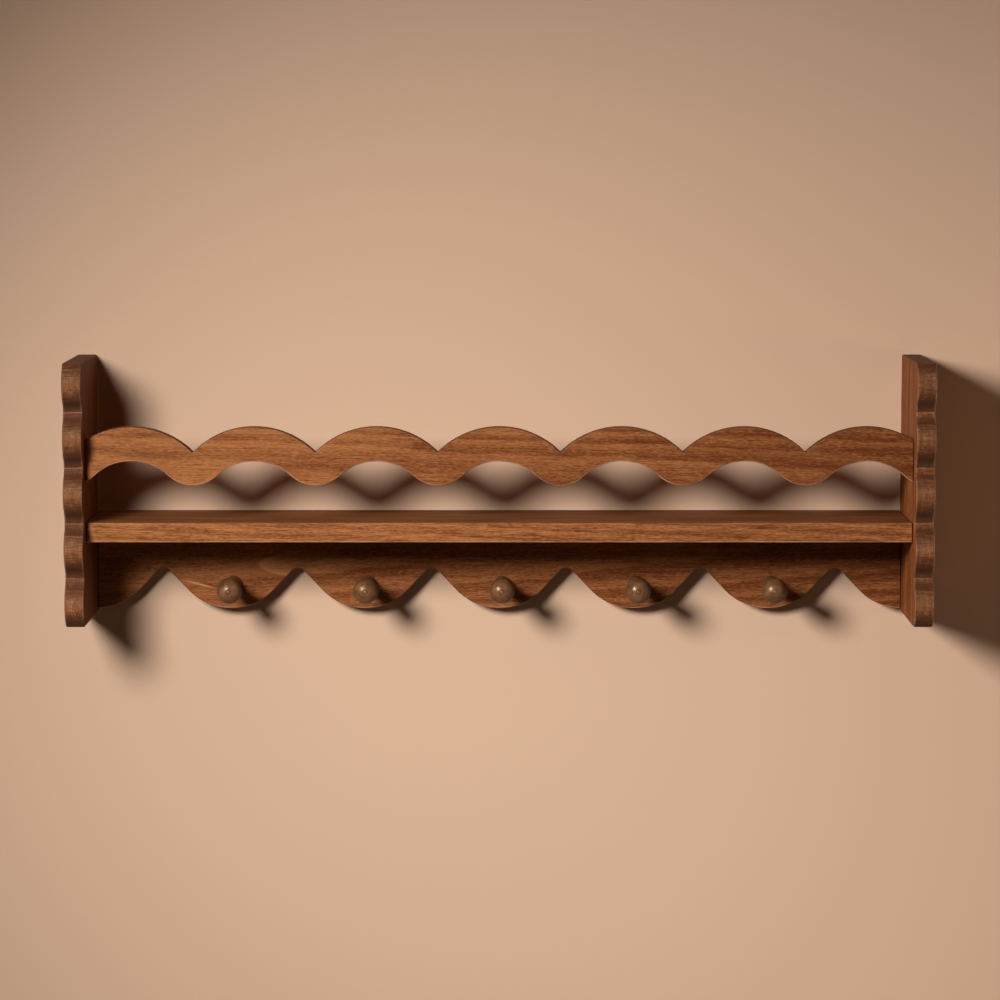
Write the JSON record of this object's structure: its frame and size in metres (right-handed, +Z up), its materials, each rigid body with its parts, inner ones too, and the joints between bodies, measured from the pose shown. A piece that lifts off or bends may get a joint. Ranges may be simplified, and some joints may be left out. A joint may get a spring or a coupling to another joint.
{
  "type": "wall plate rack",
  "caption": "Wall-hung wooden plate rack: wavy-edged end panels, a shelf, a scalloped plate rail above it and a scalloped rail of turned pegs below.",
  "frame": {"origin": "on the wall plane, at the centre of the peg rail's back face, at the height of the peg axes", "axes": "+X to the right along the rack, +Y into the wall, +Z up"},
  "size_m": [0.914, 0.143, 0.279],
  "materials": {
    "stained_wood": "walnut-stained pine, satin, with eased and rubbed edges",
    "peg_wood": "turned hardwood, stained and waxed",
    "dowel_wood": "bare beech",
    "plated_steel": "zinc plated"
  },
  "bodies": {
    "root": {"left_end_panel": "stained_wood", "right_end_panel": "stained_wood", "shelf_board": "stained_wood", "plate_rail": "stained_wood", "peg_rail": "stained_wood", "peg_1": "peg_wood", "peg_2": "peg_wood", "peg_3": "peg_wood", "peg_4": "peg_wood", "peg_5": "peg_wood", "shelf_dowel_left_1": "dowel_wood", "shelf_dowel_left_2": "dowel_wood", "shelf_dowel_left_3": "dowel_wood", "shelf_dowel_right_1": "dowel_wood", "shelf_dowel_right_2": "dowel_wood", "shelf_dowel_right_3": "dowel_wood", "plate_rail_dowel_left_1": "dowel_wood", "plate_rail_dowel_left_2": "dowel_wood", "plate_rail_dowel_right_1": "dowel_wood", "plate_rail_dowel_right_2": "dowel_wood", "peg_rail_dowel_left_1": "dowel_wood", "peg_rail_dowel_left_2": "dowel_wood", "peg_rail_dowel_right_1": "dowel_wood", "peg_rail_dowel_right_2": "dowel_wood", "left_keyhole_plate": "plated_steel", "right_keyhole_plate": "plated_steel", "keyhole_screw_left_1": "plated_steel", "keyhole_screw_left_2": "plated_steel", "keyhole_screw_right_1": "plated_steel", "keyhole_screw_right_2": "plated_steel"}
  },
  "joints": []
}
